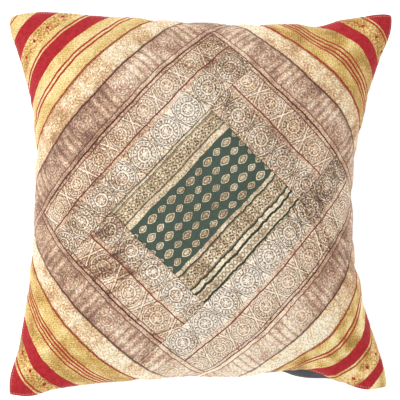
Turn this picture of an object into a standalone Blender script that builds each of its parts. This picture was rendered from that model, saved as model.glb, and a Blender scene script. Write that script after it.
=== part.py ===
"""Square cushion cover, filled, lying on its back with its front up.

The front is one pieced panel and the back is one plain panel. Both are cut to the same
square and sewn together round the edge. Filled, the cover crowns in the middle, its sides
draw in between the corners, and its back is pressed flat where it rests.

Frame: metres, +Z up through the front, +Y towards the top side, origin at the middle of
the underside.
"""

import math
from collections import namedtuple

import bmesh
import bpy
from mathutils import Vector

MM = 0.001

# The cut cloth.
CUT_HALF = 200 * MM  # half the side of the square that both panels are cut to
PANEL_THICKNESS = 1.5 * MM  # pieced front with its turned edges
BACK_THICKNESS = 1.5 * MM
CLOTH_GAP = 0.4 * MM  # between the front panel and the filled back
CELLS = 36  # along each side of the cut square

# The filled form. A place on the cut square is (s, t), each from -1 to 1: s runs from left
# to right and t from bottom to top.
SEAM_HEIGHT = 54 * MM  # of the edge seam above the surface that the cover lies on
CROWN_RISE = 76 * MM  # of the front's middle above the seam
BELLY_DROP = 72 * MM  # of the unpressed back's middle below the seam
PRESS_SOFTNESS = 10 * MM  # height over which the back turns into its flat resting face
DRAW_POWER = 4  # the sides' draw fades this fast towards the middle
CROWN_POWER = 2.2  # roundness of the crown from the middle to a side
EDGE_POWER = 0.8  # the lower, the steeper the crown meets the seam
EAR_FULLNESS = 0.25  # taken off EDGE_POWER towards the corners
CORNER_TURN = 3 * MM  # a corner's point is rounded by this much
CORNER_SHARPNESS = 14

# How far each side is drawn in from the cut square, in millimetres, at nine stations. The
# left and right sides run from bottom to top, the bottom and top sides from left to right.
Draw = namedtuple("Draw", "left right bottom top")
DRAWS = (
    Draw(left=7.0, right=4.8, bottom=1.0, top=13.5),
    Draw(left=19.0, right=19.2, bottom=8.5, top=11.4),
    Draw(left=28.0, right=36.1, bottom=16.1, top=15.9),
    Draw(left=33.5, right=43.6, bottom=19.5, top=19.2),
    Draw(left=35.8, right=46.5, bottom=22.1, top=22.7),
    Draw(left=37.8, right=42.7, bottom=24.7, top=24.5),
    Draw(left=32.0, right=31.6, bottom=24.5, top=23.6),
    Draw(left=19.0, right=15.8, bottom=15.4, top=18.5),
    Draw(left=7.5, right=4.0, bottom=7.0, top=11.5),
)

# Short places where a side is pinched in further, or let out, at a place along it.
Pinch = namedtuple("Pinch", "side place draw reach")
PINCHES = (
    Pinch(side="top", place=0.60, draw=4.0 * MM, reach=0.12),
    Pinch(side="bottom", place=0.52, draw=5.0 * MM, reach=0.20),
    Pinch(side="bottom", place=-0.84, draw=-1.5 * MM, reach=0.12),
    Pinch(side="bottom", place=0.20, draw=-2.0 * MM, reach=0.14),
    Pinch(side="right", place=-0.31, draw=1.5 * MM, reach=0.10),
    Pinch(side="right", place=-0.42, draw=-2.0 * MM, reach=0.10),
    Pinch(side="right", place=0.40, draw=-1.5 * MM, reach=0.14),
)

# Where the edge seam rides higher or lower than SEAM_HEIGHT.
Lift = namedtuple("Lift", "s t rise reach")
LIFTS = (
    Lift(s=-1.0, t=1.0, rise=-4 * MM, reach=0.35),
    Lift(s=1.0, t=1.0, rise=3 * MM, reach=0.35),
    Lift(s=1.0, t=-1.0, rise=-7 * MM, reach=0.30),
    Lift(s=-1.0, t=-1.0, rise=-3 * MM, reach=0.35),
    Lift(s=0.56, t=-1.0, rise=8 * MM, reach=0.20),
    Lift(s=0.62, t=1.0, rise=-5 * MM, reach=0.14),
    Lift(s=-1.0, t=-0.45, rise=-3 * MM, reach=0.18),
    Lift(s=1.0, t=0.10, rise=3 * MM, reach=0.30),
)

# Broad high and low places that the filling leaves in the front.
SWELLS = (
    Lift(s=-0.42, t=0.48, rise=2.5 * MM, reach=0.34),
    Lift(s=0.50, t=0.20, rise=-2.5 * MM, reach=0.26),
    Lift(s=0.34, t=-0.50, rise=2.5 * MM, reach=0.30),
    Lift(s=-0.55, t=-0.25, rise=-2.5 * MM, reach=0.28),
    Lift(s=0.10, t=0.62, rise=-2.0 * MM, reach=0.24),
    Lift(s=0.66, t=0.64, rise=3.0 * MM, reach=0.20),
)

# Soft troughs in the front, each running in from the edge seam between two places.
Fold = namedtuple("Fold", "s0 t0 s1 t1 depth width")
FOLDS = (
    Fold(s0=0.62, t0=1.04, s1=0.46, t1=0.64, depth=5.5 * MM, width=14 * MM),
    Fold(s0=1.04, t0=0.50, s1=0.72, t1=0.42, depth=3.5 * MM, width=15 * MM),
    Fold(s0=-1.04, t0=-0.44, s1=-0.74, t1=-0.34, depth=4.0 * MM, width=14 * MM),
    Fold(s0=-1.04, t0=0.42, s1=-0.76, t1=0.34, depth=3.0 * MM, width=16 * MM),
    Fold(s0=0.52, t0=-1.04, s1=0.42, t1=-0.70, depth=4.5 * MM, width=15 * MM),
    Fold(s0=1.04, t0=-0.38, s1=0.78, t1=-0.32, depth=3.0 * MM, width=14 * MM),
)

# Beside the bottom side's pinch the seam is rolled onto the front, and the back bulges out
# beyond it.
ROLL_MIDDLE = 0.56
ROLL_REACH = 0.20
ROLL_BULGE = 21 * MM
ROLL_DEPTH = 0.26  # share of the half square over which the bulge fades out

FRONT_COLOUR = (0.62, 0.45, 0.33, 1.0)
BACK_COLOUR = (0.035, 0.035, 0.04, 1.0)


def clear_scene():
    for obj in list(bpy.data.objects):
        bpy.data.objects.remove(obj)


def through_stations(values, place):
    """A smooth curve through evenly spaced values, read at a place from -1 to 1."""
    last = len(values) - 1
    along = (min(max(place, -1.0), 1.0) + 1) / 2 * last
    i = min(int(along), last - 1)
    f = along - i
    before = values[i - 1] if i > 0 else 2 * values[0] - values[1]
    after = values[i + 2] if i + 2 <= last else 2 * values[last] - values[last - 1]
    here, following = values[i], values[i + 1]
    bend = 2 * before - 5 * here + 4 * following - after
    twist = -before + 3 * here - 3 * following + after
    return 0.5 * (2 * here + (following - before) * f + bend * f**2 + twist * f**3)


def hump(off):
    """A smooth hump, 1 at 0 and nothing from 1 on."""
    return (1 - min(abs(off), 1.0) ** 2) ** 2


def side_draw(side, place):
    draw = MM * through_stations([getattr(row, side) for row in DRAWS], place)
    for pinch in PINCHES:
        if pinch.side == side:
            draw += pinch.draw * hump((place - pinch.place) / pinch.reach)
    return draw


def plan(s, t):
    """Where the cloth at (s, t) lies, as seen from above."""
    draw_x = side_draw("right" if s > 0 else "left", t)
    draw_y = side_draw("top" if t > 0 else "bottom", s)
    turn = CORNER_TURN * abs(s * t) ** CORNER_SHARPNESS
    x = CUT_HALF * abs(s) - draw_x * abs(s) ** DRAW_POWER - turn
    y = CUT_HALF * abs(t) - draw_y * abs(t) ** DRAW_POWER - turn
    return math.copysign(x, s), math.copysign(y, t)


def fullness(s, t):
    """1 in the middle and 0 at the seam."""
    across = (1 - abs(s) ** CROWN_POWER) * (1 - abs(t) ** CROWN_POWER)
    return max(across, 0.0) ** (EDGE_POWER - EAR_FULLNESS * abs(s * t))


def rises(table, s, t):
    """The height that a table of high and low places adds at (s, t)."""
    height = 0.0
    for row in table:
        off = math.hypot(s - row.s, t - row.t) / row.reach
        height += row.rise * math.exp(-(off**2))
    return height


def fold_depth(s, t):
    """How deep the front's soft troughs are at (s, t)."""
    here = Vector((s, t))
    depth = 0.0
    for fold in FOLDS:
        start, end = Vector((fold.s0, fold.t0)), Vector((fold.s1, fold.t1))
        run = end - start
        share = min(max((here - start).dot(run) / run.length_squared, 0.0), 1.0)
        off = (here - start - run * share).length * CUT_HALF / fold.width
        depth += fold.depth * math.exp(-(off**2)) * (1 - share**2)
    return depth


def front_skin(s, t):
    """The outer surface of the front."""
    x, y = plan(s, t)
    off_seam = 1 - max(abs(s), abs(t)) ** 12
    relief = rises(SWELLS, s, t) - fold_depth(s, t)
    seam = SEAM_HEIGHT + rises(LIFTS, s, t)
    return Vector((x, y, seam + CROWN_RISE * fullness(s, t) + relief * off_seam))


def front_normal(s, t):
    step = 0.5 / CELLS
    left, right = max(s - step, -1.0), min(s + step, 1.0)
    low, high = max(t - step, -1.0), min(t + step, 1.0)
    along_s = front_skin(right, t) - front_skin(left, t)
    along_t = front_skin(s, high) - front_skin(s, low)
    return along_s.cross(along_t).normalized()


def under_front(s, t, depth):
    """A point at this depth under the front's outer surface."""
    return front_skin(s, t) - front_normal(s, t) * depth


def pressed(height):
    """This height, or 0 where the cover's weight presses it flat, with a soft turn between."""
    if height > PRESS_SOFTNESS:
        return height
    return max(height + PRESS_SOFTNESS, 0.0) ** 2 / (4 * PRESS_SOFTNESS)


def back_skin(s, t):
    """The outer surface of the back, flat at z = 0 where it rests."""
    if max(abs(s), abs(t)) > 1 - 1e-6:
        return under_front(s, t, PANEL_THICKNESS + CLOTH_GAP) - Vector((0, 0, BACK_THICKNESS))
    x, y = plan(s, t)
    if t < 0:
        inward = min((1 + t) / ROLL_DEPTH, 1.0)
        y -= ROLL_BULGE * hump((s - ROLL_MIDDLE) / ROLL_REACH) * math.sin(math.pi * inward)
    drop = BACK_THICKNESS + BELLY_DROP * fullness(s, t)
    return Vector((x, y, pressed(SEAM_HEIGHT + rises(LIFTS, s, t) - drop)))


def sewn_square(name, top, bottom):
    """A closed double layer of the cut square, each layer shaped by its own function."""
    bpy.ops.mesh.primitive_grid_add(
        x_subdivisions=CELLS, y_subdivisions=CELLS, size=2 * CUT_HALF
    )
    square = bpy.context.active_object
    square.name = square.data.name = name
    mesh = bmesh.new()
    mesh.from_mesh(square.data)
    lower = set(mesh.verts)
    bmesh.ops.extrude_face_region(mesh, geom=mesh.faces[:])
    for vertex in mesh.verts:
        shape = bottom if vertex in lower else top
        vertex.co = shape(vertex.co.x / CUT_HALF, vertex.co.y / CUT_HALF)
    bmesh.ops.triangulate(mesh, faces=mesh.faces)
    mesh.to_mesh(square.data)
    mesh.free()
    return square


def centre_on_origin(pieces):
    """Moves the shaped cloth so that the middle of its outline lies over the origin."""
    points = [v.co for piece in pieces for v in piece.data.vertices]
    middle_x = (min(p.x for p in points) + max(p.x for p in points)) / 2
    middle_y = (min(p.y for p in points) + max(p.y for p in points)) / 2
    for piece in pieces:
        for vertex in piece.data.vertices:
            vertex.co -= Vector((middle_x, middle_y, 0))


def finish(piece, collection, colour, roughness, metallic):
    """Puts a piece in the cover's collection with its own cloth material."""
    material = bpy.data.materials.new(piece.name)
    material.use_nodes = True
    cloth = material.node_tree.nodes["Principled BSDF"]
    cloth.inputs["Base Color"].default_value = colour
    cloth.inputs["Roughness"].default_value = roughness
    cloth.inputs["Metallic"].default_value = metallic
    piece.data.materials.append(material)
    piece.data.shade_smooth()
    piece.data.set_sharp_from_angle(angle=math.radians(60))
    for old in list(piece.users_collection):
        old.objects.unlink(piece)
    collection.objects.link(piece)


def front_panel():
    """The pieced front: a sheet over the whole crown, from seam to seam."""
    return sewn_square(
        "front_panel", front_skin, lambda s, t: under_front(s, t, PANEL_THICKNESS)
    )


def filled_back():
    """The plain back with the filling that it and the front hold, as one solid."""
    depth = PANEL_THICKNESS + CLOTH_GAP
    return sewn_square("filled_back", lambda s, t: under_front(s, t, depth), back_skin)


def main():
    clear_scene()
    cover = bpy.data.collections.new("cushion_cover")
    bpy.context.scene.collection.children.link(cover)
    front, back = front_panel(), filled_back()
    centre_on_origin([front, back])
    finish(front, cover, FRONT_COLOUR, roughness=0.5, metallic=0.35)
    finish(back, cover, BACK_COLOUR, roughness=0.9, metallic=0.0)


main()
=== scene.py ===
"""Dresses the filled cushion cover: a pieced front of old gold-brocade borders and a plain back."""

import math

import bmesh
import bpy
import numpy as np
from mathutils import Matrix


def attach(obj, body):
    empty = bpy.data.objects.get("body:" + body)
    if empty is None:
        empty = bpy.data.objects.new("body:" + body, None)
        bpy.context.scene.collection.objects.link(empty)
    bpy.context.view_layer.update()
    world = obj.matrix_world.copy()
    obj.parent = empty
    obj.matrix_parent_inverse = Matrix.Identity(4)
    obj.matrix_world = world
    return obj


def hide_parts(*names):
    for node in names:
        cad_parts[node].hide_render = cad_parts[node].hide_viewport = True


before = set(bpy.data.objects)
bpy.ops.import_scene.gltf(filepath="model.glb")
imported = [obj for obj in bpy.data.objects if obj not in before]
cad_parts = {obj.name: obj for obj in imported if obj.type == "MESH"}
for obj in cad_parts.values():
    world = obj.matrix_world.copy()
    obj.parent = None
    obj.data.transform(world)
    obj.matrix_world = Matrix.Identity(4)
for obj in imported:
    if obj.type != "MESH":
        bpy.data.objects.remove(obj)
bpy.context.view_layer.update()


# The filled back: a plain dark cotton square, sewn all round to the pieced front, with the
# filling that both hold. Cut 40 cm square, it crowns in the middle, its sides draw in, and
# its own weight presses it flat underneath.

CUT_HALF = 200.0  # half the side of the cut square; lengths are in mm, but for the studio's
EDGE = CUT_HALF * math.sqrt(2)  # from the cut square's middle to its corner
SEAM_HEIGHT = 54.0  # of the edge seam above the table
CROWN_RISE = 76.0  # of the front's middle above the seam
BELLY_DROP = 72.0  # of the unpressed back's middle below the seam
PRESS_SOFTNESS = 10.0  # the back's height over which it turns from the table
CORNER_TURN = 8.5  # how much a corner's point is rounded off
CORNER_SHARPNESS = 11.5  # the higher, the closer to its point the rounding stays
CROWN_POWER = 2.2  # the higher, the flatter the crown's middle
EDGE_POWER = 0.8  # the lower, the steeper the crown meets the seam
EAR_FULLNESS = 0.25  # taken off EDGE_POWER towards the corners
MIDDLE_SOFTNESS = 0.02  # keeps a ridge from the crown's middle lines
PIECED_THICKNESS = 1.5
BACK_THICKNESS = 1.5
CLOTH_GAP = 0.4

# How far each side is drawn in, in mm: left, right, bottom and top, at nine stations.
SIDES_DRAWN_IN = np.array((
    (2.7, 3.0, -3.3, 10.2),
    (19.0, 19.2, 8.5, 11.4),
    (28.0, 36.1, 16.1, 15.9),
    (33.5, 43.6, 19.5, 19.2),
    (35.8, 46.5, 22.1, 22.7),
    (37.8, 42.7, 24.7, 24.5),
    (32.0, 31.6, 24.5, 23.6),
    (19.0, 15.8, 15.4, 18.5),
    (3.5, -1.3, 3.7, 7.5),
))
LEFT, RIGHT, BOTTOM, TOP = range(4)

# Short pinches: the side, the place along it, the draw in mm, and the reach.
PINCHES = (
    (TOP, 0.60, 4.0, 0.12),
    (BOTTOM, 0.52, 5.0, 0.20),
    (BOTTOM, 0.57, 2.6, 0.12),
    (BOTTOM, -0.84, -2.5, 0.12),
    (BOTTOM, 0.84, -3.0, 0.13),
    (RIGHT, 0.84, -2.0, 0.14),
    (LEFT, 0.86, -1.2, 0.12),
    (LEFT, -0.86, -1.5, 0.12),
    (BOTTOM, 0.20, -2.0, 0.14),
    (RIGHT, -0.31, 1.5, 0.10),
    (RIGHT, -0.42, -2.0, 0.10),
    (RIGHT, 0.40, -1.5, 0.14),
)
BY_CORNER = 0.8  # past this place along a side, a pinch is by a corner
SIDE_FADE, PINCH_FADE = 4, 14  # powers: how fast a side's draw, and a pinch by a corner, die out

# High and low places of the seam, and then of the front: s, t, the rise in mm, the reach.
SEAM_LIFTS = (
    (-1.0, 1.0, -4.0, 0.35),
    (1.0, 1.0, 3.0, 0.35),
    (1.0, -1.0, -7.0, 0.30),
    (-1.0, -1.0, -3.0, 0.35),
    (0.56, -1.0, 8.0, 0.20),
    (0.62, 1.0, -5.0, 0.14),
    (-1.0, -0.45, -3.0, 0.18),
    (1.0, 0.10, 3.0, 0.30),
)
SWELLS = (
    (-0.42, 0.48, 2.5, 0.34),
    (0.50, 0.20, -2.5, 0.26),
    (0.34, -0.50, 2.5, 0.30),
    (-0.55, -0.25, -2.5, 0.28),
    (0.10, 0.62, -2.0, 0.24),
    (0.66, 0.64, 3.0, 0.20),
)

# Soft troughs: from s, t to s, t, the depth and the width in mm.
FOLDS = (
    (0.62, 1.04, 0.46, 0.64, 5.5, 14.0),
    (1.04, 0.50, 0.72, 0.42, 3.5, 15.0),
    (-1.04, -0.44, -0.74, -0.34, 4.0, 14.0),
    (-1.04, 0.42, -0.76, 0.34, 3.0, 16.0),
    (0.52, -1.04, 0.42, -0.70, 4.5, 15.0),
    (1.04, -0.38, 0.78, -0.32, 3.0, 14.0),
)

# Where the seam is rolled onto the front and the back bulges out beyond it.
ROLL_MIDDLE = 0.55
ROLL_REACH = 0.24
ROLL_BULGE = 20.5
ROLL_DEPTH = 0.26


def hump(off):
    """1 at 0, falling smoothly to 0 at 1 and beyond."""
    return (1 - np.minimum(np.abs(off), 1) ** 2) ** 2


def drawn_in(side, place, out):
    """How far a side draws the cloth in at a place along it, on a smooth curve.

    out is 1 at the seam and 0 in the middle. Pinches close to a corner stay by the seam.
    """
    stations = SIDES_DRAWN_IN[:, side]
    last = len(stations) - 1
    along = (np.clip(place, -1, 1) + 1) / 2 * last
    i = np.minimum(along.astype(int), last - 1)
    f = along - i
    padded = np.concatenate((
        [2 * stations[0] - stations[1]], stations, [2 * stations[-1] - stations[-2]]
    ))
    before, here, following, after = (padded[i + k] for k in range(4))
    bend = 2 * before - 5 * here + 4 * following - after
    twist = -before + 3 * here - 3 * following + after
    draw = 0.5 * (2 * here + (following - before) * f + bend * f**2 + twist * f**3) * out**SIDE_FADE
    for pinched, at, extra, reach in PINCHES:
        if pinched == side:
            fade = PINCH_FADE if abs(at) > BY_CORNER else SIDE_FADE
            draw = draw + extra * hump((place - at) / reach) * out**fade
    return draw


def plan(s, t):
    """Where the cloth at (s, t) lies as seen from above. Both run from -1 to 1 over the cut."""
    draw_x = np.where(s > 0, drawn_in(RIGHT, t, np.abs(s)), drawn_in(LEFT, t, np.abs(s)))
    draw_y = np.where(t > 0, drawn_in(TOP, s, np.abs(t)), drawn_in(BOTTOM, s, np.abs(t)))
    turn = CORNER_TURN * np.abs(s * t) ** CORNER_SHARPNESS
    x = CUT_HALF * np.abs(s) - draw_x - turn
    y = CUT_HALF * np.abs(t) - draw_y - turn
    return np.copysign(x, s), np.copysign(y, t)


def fullness(s, t):
    """1 in the middle and 0 at the seam."""
    across = np.maximum((1 - np.abs(s) ** CROWN_POWER) * (1 - np.abs(t) ** CROWN_POWER), 0)
    return across ** (EDGE_POWER - EAR_FULLNESS * np.sqrt((s * t) ** 2 + MIDDLE_SOFTNESS))


def rises(table, s, t):
    """The height that the high and low places of a table add up to."""
    height = np.zeros_like(s)
    for at_s, at_t, rise, reach in table:
        height += rise * np.exp(-((s - at_s) ** 2 + (t - at_t) ** 2) / reach**2)
    return height


def fold_depth(s, t):
    """How deep the soft troughs press the front in."""
    depth = np.zeros_like(s)
    for s0, t0, s1, t1, deep, wide in FOLDS:
        run_s, run_t = s1 - s0, t1 - t0
        share = ((s - s0) * run_s + (t - t0) * run_t) / (run_s**2 + run_t**2)
        share = np.clip(share, 0, 1)
        off = np.hypot(s - s0 - run_s * share, t - t0 - run_t * share) * CUT_HALF / wide
        depth += deep * np.exp(-(off**2)) * (1 - share**2)
    return depth


def seam_height(s, t):
    return SEAM_HEIGHT + rises(SEAM_LIFTS, s, t)


def front_skin(s, t):
    """Where the front's outer surface lies, without its fine folds."""
    x, y = plan(s, t)
    relief = rises(SWELLS, s, t) - fold_depth(s, t)
    relief *= 1 - np.maximum(np.abs(s), np.abs(t)) ** 12
    return np.stack((x, y, seam_height(s, t) + CROWN_RISE * fullness(s, t) + relief), -1)


def front_normals(s, t):
    """Which way the front faces, worked out from places a step to each side."""
    step = 0.014  # of a half side
    left, right = np.maximum(s - step, -1), np.minimum(s + step, 1)
    low, high = np.maximum(t - step, -1), np.minimum(t + step, 1)
    along = front_skin(right, t) - front_skin(left, t)
    facing = np.cross(along, front_skin(s, high) - front_skin(s, low))
    return facing / np.linalg.norm(facing, axis=-1, keepdims=True)


def back_skin(s, t, folds=0.0):
    """Where the back lies: bulged out beside the rolled seam, and pressed flat on the table."""
    x, y = plan(s, t)
    inward = np.minimum((1 + t) / ROLL_DEPTH, 1)
    bulge = ROLL_BULGE * hump((s - ROLL_MIDDLE) / ROLL_REACH) * np.sin(np.pi * inward)
    y = y - np.where(t < 0, bulge, 0)
    height = seam_height(s, t) - BACK_THICKNESS - BELLY_DROP * fullness(s, t)
    points = np.stack((x, y, height), -1) + folds
    height = points[:, 2]
    pressed = np.maximum(height + PRESS_SOFTNESS, 0) ** 2 / (4 * PRESS_SOFTNESS)
    points[:, 2] = np.where(height > PRESS_SOFTNESS, height, pressed)
    return points


# The form is laid so that the middle of its outline is over the origin, as the model is.
rim = np.linspace(-1, 1, 37)
rim_s, rim_t = (side.ravel() for side in np.meshgrid(rim, rim))
rim_points = front_skin(rim_s, rim_t)
MIDDLE = (rim_points.max(0) + rim_points.min(0)) / 2 * (1, 1, 0)

# How far the sewn cloth has slipped from a plain stretch over the filling, in mm towards s
# and towards t, at 11 by 11 places a station apart.
SLIP_S = np.array((
    (-2, 3, 7, 7, 4, -2, -10, -13, -8, 2, 14),
    (-3, 0, 3, 4, 4, 3, -3, -8, -4, 7, 15),
    (-2, -3, -1, 1, 3, 6, 3, -1, 1, 9, 15),
    (-1, -1, -1, 0, 1, 2, 2, 0, 1, 7, 13),
    (-1, -1, -3, -1, 0, 0, 0, 0, 1, 5, 12),
    (-3, -2, -1, -1, 0, 0, 0, 0, 2, 7, 13),
    (-7, -6, -3, 1, 1, 0, -1, -2, 3, 10, 16),
    (-9, -6, -1, 1, 0, -1, -3, -3, 5, 12, 17),
    (-9, -6, -1, 2, 1, -1, -3, -4, 3, 10, 15),
    (-7, -3, 2, 5, 2, -1, -4, -7, -1, 6, 12),
    (-3, 2, 6, 6, 3, -1, -5, -7, -4, 1, 7),
), float)
SLIP_T = np.array((
    (-3, -7, -9, -11, -10, -8, -4, -1, 2, 5, 8),
    (4, -1, -5, -8, -8, -6, -5, -3, 1, 4, 9),
    (11, 4, -1, -3, -4, -4, -6, -4, 0, 3, 8),
    (14, 9, 2, 1, 0, -3, -3, 0, 3, 5, 8),
    (12, 4, -3, -1, 1, 0, 0, 1, 4, 6, 6),
    (6, 1, -4, -2, 0, 0, 0, 1, 3, 4, 3),
    (0, 0, -1, -2, -1, 0, 0, 1, 2, 0, -3),
    (-6, -4, -2, 0, 3, 3, 2, 1, 1, -3, -8),
    (-7, -4, 0, 2, 6, 8, 6, 1, -1, -6, -11),
    (-6, -1, 2, 4, 8, 10, 7, 1, -1, -6, -11),
    (-3, 1, 4, 6, 8, 9, 6, 2, -2, -6, -10),
), float)


def between_stations(place, last):
    """The first of the four stations round a place, and the share of each."""
    along = (np.clip(place, -1, 1) + 1) / 2 * last
    i = np.minimum(along.astype(int), last - 1)
    f = along - i
    shares = ((1 - f) ** 3, 3 * f**3 - 6 * f**2 + 4, -3 * f**3 + 3 * f**2 + 3 * f + 1, f**3)
    return i, [share / 6 for share in shares]


def looked_up(table, s, t):
    """A table's value at each (s, t), on a smooth surface. It has a row and a column to spare."""
    last = len(table) - 3
    i, along_s = between_stations(s, last)
    j, along_t = between_stations(t, last)
    found = np.zeros((len(s),) + table.shape[2:])
    for row in range(4):
        for column in range(4):
            share = along_s[column] * along_t[row]
            found += (share * table[j + row, i + column].T).T
    return found


def slipped(a, b):
    """The place (s, t) on the form that the cut cloth's (a, b) has come to.

    Places on the cut cloth are in mm, a to the upper right corner and b to the lower right one.
    """
    s = np.clip((a + b) / math.sqrt(2) / CUT_HALF, -1, 1)
    t = np.clip((a - b) / math.sqrt(2) / CUT_HALF, -1, 1)
    slip_s, slip_t = looked_up(SLIP_S, s, t), looked_up(SLIP_T, s, t)
    return s + (1 - s**12) * slip_s / CUT_HALF, t + (1 - t**12) * slip_t / CUT_HALF


# The places of the pieced front's seams on the cut cloth: four to each side, from the centre
# piece outwards. The left and right ones are places along a, the upper and lower ones along b.
SEAMS = {
    "left": (-67.9, -129.8, -163.1, -183.8),
    "right": (71.1, 134.2, 166.3, 186.9),
    "upper": (-53.4, -113.8, -148.6, -173.2),
    "lower": (74.4, 135.9, 170.0, 192.0),
}
CLOTH_CELLS = 110  # along a side of each cloth
CLOTH_FRAMES = 14
LOOSENESS = 0.05  # how much wider the cloth is between the seams
BACK_TIGHTNESS = 0.5
HELD = 0.12
FILLING_PRESSURE = 4.0
LARGEST_FOLD = 3.0
FOLD_REACH = 5  # in cells; what is broader than a fold is taken out
SEAM_WIDTH, LOOSE_REACH = 1.0, 6.0  # the cloth is tight at a seam, and loose this far past it
CORNER_START, CORNER_SOFTNESS, CORNER_TIGHTNESS = 1.32, 0.1, 0.7


def seam_lines():
    """Each seam, from a, b to a, b. The outer ones run out to the cushion's edge."""
    left, right, upper, lower = SEAMS.values()
    lines = [
        (left[0], upper[0], left[0], lower[0]),
        (right[0], upper[0], right[0], lower[0]),
        (left[1], upper[0], right[1], upper[0]),
        (left[2], lower[0], right[1], lower[0]),
        (left[1], upper[1], left[1], lower[1]),
        (right[1], upper[1], right[1], lower[1]),
    ]
    for a in left[2:] + right[2:]:
        reach = round(EDGE - abs(a), 1)
        lines.append((a, -reach, a, reach))
    for b in upper[1:] + lower[1:]:
        reach = round(EDGE - abs(b), 1)
        lines.append((-reach, b, reach, b))
    return lines


def tightness(s, t):
    """1 at a seam and 0 in the loose cloth between seams. The corners are tighter."""
    away = np.full(len(s), 9.0)
    share = np.linspace(0, 1, 60)
    for a0, b0, a1, b1 in seam_lines():
        for seam_s, seam_t in zip(*slipped(a0 + (a1 - a0) * share, b0 + (b1 - b0) * share)):
            away = np.minimum(away, np.hypot(s - seam_s, t - seam_t))
    loose = np.clip((away * CUT_HALF - SEAM_WIDTH) / LOOSE_REACH, 0, 1)
    in_corner = np.clip((np.abs(s) + np.abs(t) - CORNER_START) / CORNER_SOFTNESS, 0, 1)
    return 1 - loose * (1 - CORNER_TIGHTNESS * in_corner)


def evened(grid, reach):
    """A grid of moves with all that is finer than this reach, in cells, evened out."""
    shares = np.exp(-((np.arange(-3 * reach, 3 * reach + 1) / reach) ** 2) / 2)
    shares /= shares.sum()
    for _ in range(2):
        wide = np.pad(grid, ((3 * reach, 3 * reach), (0, 0), (0, 0)), "edge")
        grid = sum(share * wide[k:k + len(grid)] for k, share in enumerate(shares))
        grid = grid.swapaxes(0, 1)
    return grid


def folds_of_filling():
    """Blows the sewn cover out as the filling does, and keeps the folds that this gives.

    Both answers are grids of moves in mm, of the front's cloth and the back's.
    """
    side = CLOTH_CELLS + 1
    places = np.linspace(-1, 1, side)
    s, t = (grid.ravel() for grid in np.meshgrid(places, places))
    front = np.arange(side * side)
    inner = np.maximum(np.abs(s), np.abs(t)) < 1 - 1e-9
    rear = front.copy()
    rear[inner] = side * side + np.arange(inner.sum())
    start = (np.concatenate((front_skin(s, t), back_skin(s, t)[inner])) - MIDDLE) / 1000
    rows = front.reshape(side, side)
    faces = np.stack((rows[:-1, :-1], rows[:-1, 1:], rows[1:, 1:], rows[1:, :-1]), -1)
    faces = faces.reshape(-1, 4)
    faces = np.concatenate((front[faces], rear[faces][:, ::-1]))
    mesh = bpy.data.meshes.new("sewn_cover")
    mesh.from_pydata(start.tolist(), [], faces.tolist())
    cover = bpy.data.objects.new("sewn_cover", mesh)
    bpy.context.scene.collection.objects.link(cover)
    held = cover.vertex_groups.new(name="held")
    held.add(list(range(len(start))), HELD, "REPLACE")
    tight = cover.vertex_groups.new(name="tight")
    tightest = np.full(len(start), BACK_TIGHTNESS)
    tightest[front] = tightness(s, t)
    for k, share in enumerate(tightest.tolist()):
        tight.add([k], share, "REPLACE")
    bpy.ops.object.select_all(action="DESELECT")
    bpy.context.view_layer.objects.active = cover
    bpy.ops.object.modifier_add(type="CLOTH")
    cloth = cover.modifiers[0].settings
    cloth.quality = 5
    cloth.mass = 0.3
    cloth.tension_stiffness = cloth.compression_stiffness = 15
    cloth.shear_stiffness = 5
    cloth.bending_stiffness = 0.2
    cloth.use_pressure = True
    cloth.uniform_pressure_force = FILLING_PRESSURE
    cloth.effector_weights.gravity = 0
    cloth.vertex_group_mass = "held"
    cloth.vertex_group_shrink = "tight"
    cloth.shrink_min = -LOOSENESS
    cloth.shrink_max = 0
    cover.modifiers[0].collision_settings.use_collision = False
    for frame_number in range(1, CLOTH_FRAMES + 1):
        bpy.context.scene.frame_set(frame_number)
    bpy.ops.object.modifier_apply(modifier=cover.modifiers[0].name)
    moved = np.zeros(len(start) * 3)
    mesh.vertices.foreach_get("co", moved)
    moves = (moved.reshape(-1, 3) - start) * 1000
    bpy.data.objects.remove(cover)
    bpy.data.meshes.remove(mesh)
    bpy.context.scene.frame_set(1)
    folds = []
    for skin in (front, rear):
        grid = moves[skin].reshape(side, side, 3)
        grid = grid - evened(grid, FOLD_REACH)
        size = np.maximum(np.linalg.norm(grid, axis=-1, keepdims=True), 1e-9)
        grid = grid * LARGEST_FOLD * np.tanh(size / LARGEST_FOLD) / size
        folds.append(np.pad(grid, ((1, 1), (1, 1), (0, 0)), "edge"))
    return folds


front_folds, back_folds = folds_of_filling()


def under_front(s, t, depth):
    """A place this many mm under the front's outer surface, folds and all."""
    skin = front_skin(s, t) - front_normals(s, t) * np.reshape(depth, (-1, 1))
    return skin + looked_up(front_folds, s, t)


CELLS = 130  # of the filled back's mesh, along a side


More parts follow.
